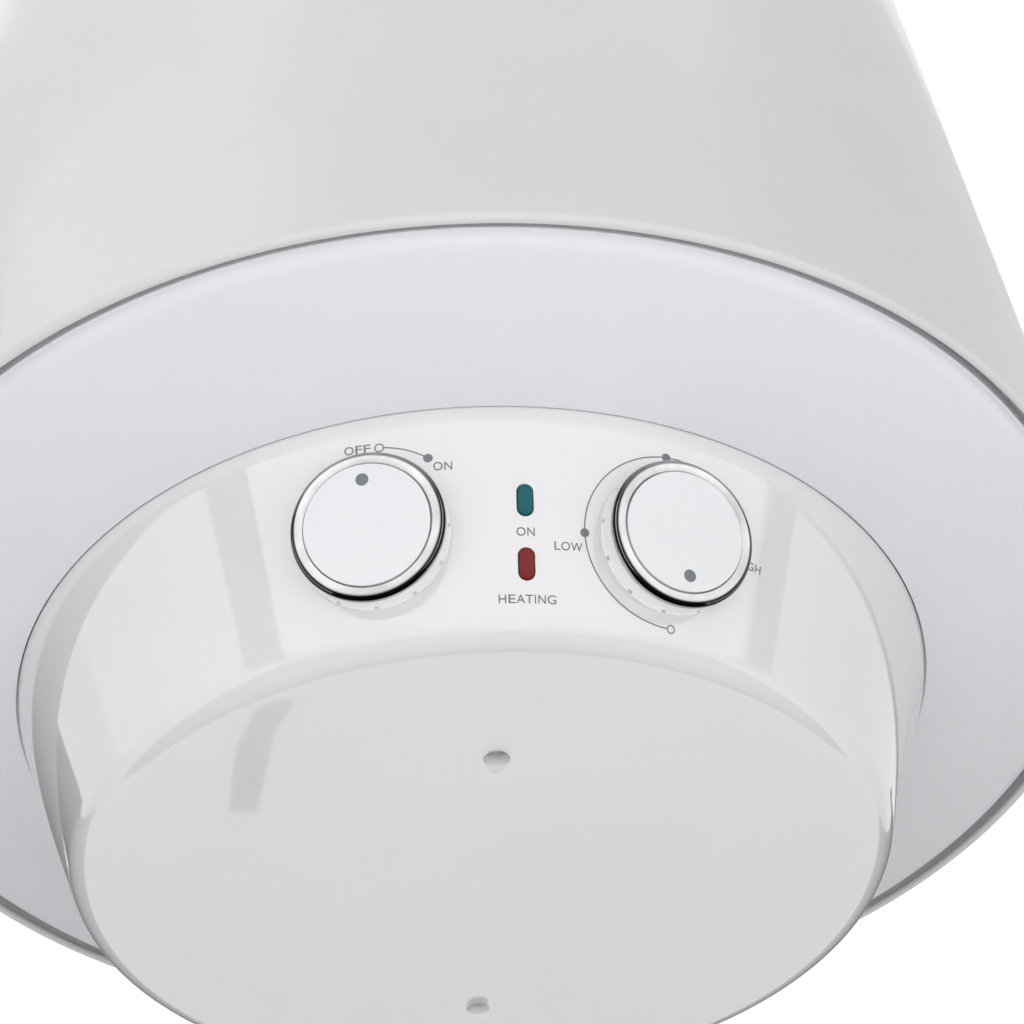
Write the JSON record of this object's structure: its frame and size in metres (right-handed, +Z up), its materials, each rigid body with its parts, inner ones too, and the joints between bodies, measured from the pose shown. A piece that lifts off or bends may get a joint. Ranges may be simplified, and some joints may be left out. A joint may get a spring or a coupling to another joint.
{
  "type": "electric storage water heater",
  "caption": "White wall-hung cylindrical electric water heater with a drum-shaped control cover underneath that carries its knobs and signal lamps.",
  "frame": {"origin": "middle of the wall bracket's two slots, on the wall's face", "axes": "+Z up along the heater's axis, +Y into the wall, -Y is the heater's front"},
  "size_m": [0.45, 0.465, 0.5915],
  "materials": {
    "jacket_paint": "satin",
    "cap_plastic": "satin",
    "cover_plastic": "gloss",
    "knob_plastic": "gloss",
    "knob_chrome": "polished",
    "green_lens": "gloss",
    "red_lens": "gloss",
    "zinc_steel": "zinc plated",
    "tank_steel": "enamelled",
    "pipe_steel": "threaded",
    "copper": "bright",
    "brass": "bright",
    "magnesium": "cast",
    "foam": "foamed",
    "black_rubber": "matt",
    "black_plastic": "matt",
    "pale_plastic": "matt",
    "blue_plastic": "satin",
    "red_plastic": "satin"
  },
  "bodies": {
    "heater": {"outer_jacket": "jacket_paint", "top_cap": "cap_plastic", "bottom_cap": "cap_plastic", "control_cover": "cover_plastic", "power_lamp_lens": "green_lens", "heating_lamp_lens": "red_lens", "wall_bracket": "zinc_steel", "cover_screws": "zinc_steel", "cover_brackets": "zinc_steel", "flange_bolts": "zinc_steel", "anode_nut": "zinc_steel", "control_screws": "zinc_steel", "thermostat_body": "zinc_steel", "tank_shell": "tank_steel", "tank_top_dome": "tank_steel", "tank_bottom_dome": "tank_steel", "flange_collar": "tank_steel", "flange_plate": "tank_steel", "cold_inlet_pipe": "pipe_steel", "hot_outlet_pipe": "pipe_steel", "hot_riser_tube": "pipe_steel", "heating_element": "copper", "sensor_pocket": "copper", "thermostat_capillary": "copper", "element_terminals": "brass", "earth_screw": "brass", "magnesium_anode": "magnesium", "foam_insulation": "foam", "flange_gasket": "black_rubber", "wall_spacer": "black_plastic", "cord_gland": "black_plastic", "gland_nut": "black_plastic", "thermal_cutout": "black_plastic", "lamp_housings": "black_plastic", "rotary_switch": "pale_plastic", "terminal_block": "pale_plastic", "inlet_diffuser": "pale_plastic", "cold_marker_ring": "blue_plastic", "hot_marker_ring": "red_plastic"},
    "power_control": {"power_knob": "knob_plastic", "power_knob_ring": "knob_chrome", "power_knob_cap": "knob_plastic", "switch_spindle": "zinc_steel"},
    "thermostat_control": {"thermostat_knob": "knob_plastic", "thermostat_knob_ring": "knob_chrome", "thermostat_knob_cap": "knob_plastic", "thermostat_spindle": "zinc_steel"},
    "reset_plunger": {"reset_button": "red_plastic"}
  },
  "joints": [
    {"name": "power_knob_turn", "type": "hinge", "parent": "heater", "child": "power_control", "pos_m": [-0.04295, -0.38047, -0.42166], "axis": [0.2724, 0.891, 0.3633], "range_deg": [0, 42]},
    {"name": "thermostat_knob_turn", "type": "hinge", "parent": "heater", "child": "thermostat_control", "pos_m": [0.04295, -0.38047, -0.42166], "axis": [-0.2724, 0.891, 0.3633], "range_deg": [0, 270]},
    {"name": "reset_button_press", "type": "slide", "parent": "heater", "child": "reset_plunger", "axis": [0, 0, 1], "range_m": [0, 0.0015], "stiffness_N_per_m": 400}
  ]
}
